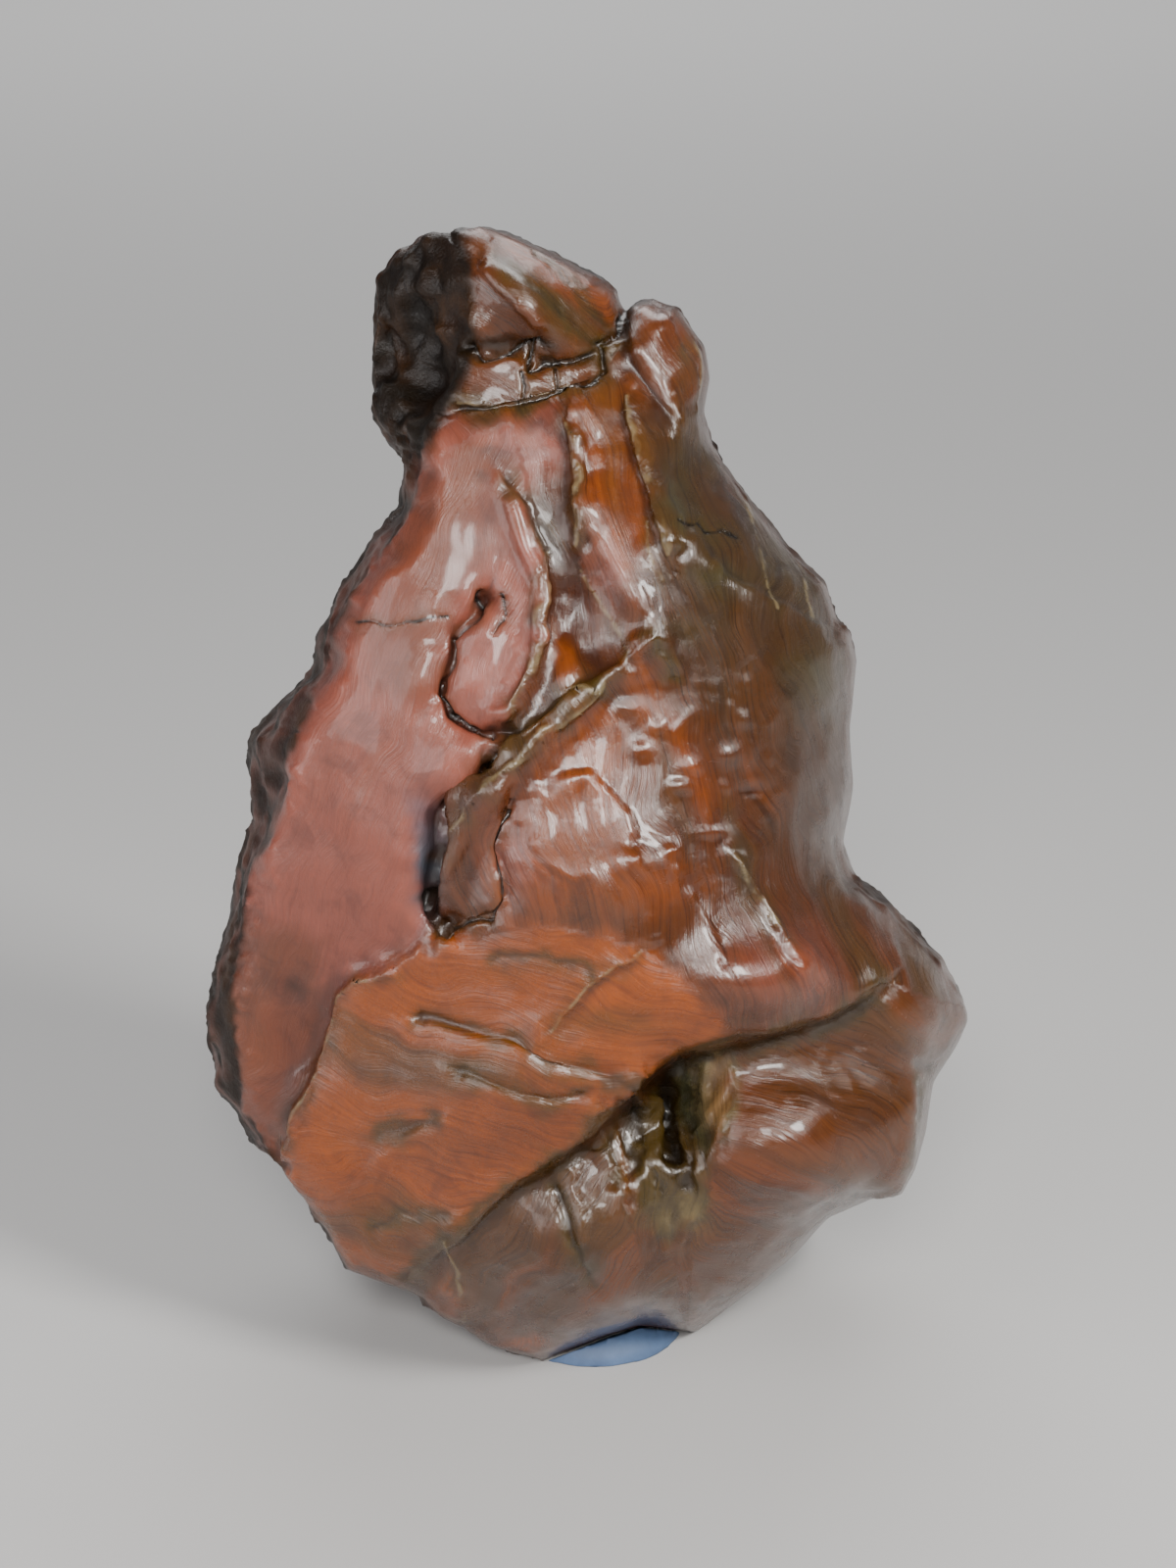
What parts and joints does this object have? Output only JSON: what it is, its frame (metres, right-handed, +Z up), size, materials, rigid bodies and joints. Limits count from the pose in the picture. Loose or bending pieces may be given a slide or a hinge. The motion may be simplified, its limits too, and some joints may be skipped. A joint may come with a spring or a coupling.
{
  "type": "gobi agate display stone",
  "caption": "Wind-polished reddish-brown agate with a knobbly crust, standing upright on a small foot with a wad of putty.",
  "frame": {"origin": "middle of the bounding box, on the surface the stone stands on", "axes": "+Z up, +X to the right of a viewer who faces the polished side, +Y away from that viewer"},
  "size_m": [0.1214, 0.0894, 0.1749],
  "materials": {
    "agate": "polished by windblown sand, waxy, with a matt dark crust on the left side and the back",
    "putty": "matt blue-grey mounting putty"
  },
  "bodies": {
    "root": {"stone": "agate", "putty_pad": "putty"}
  },
  "joints": []
}
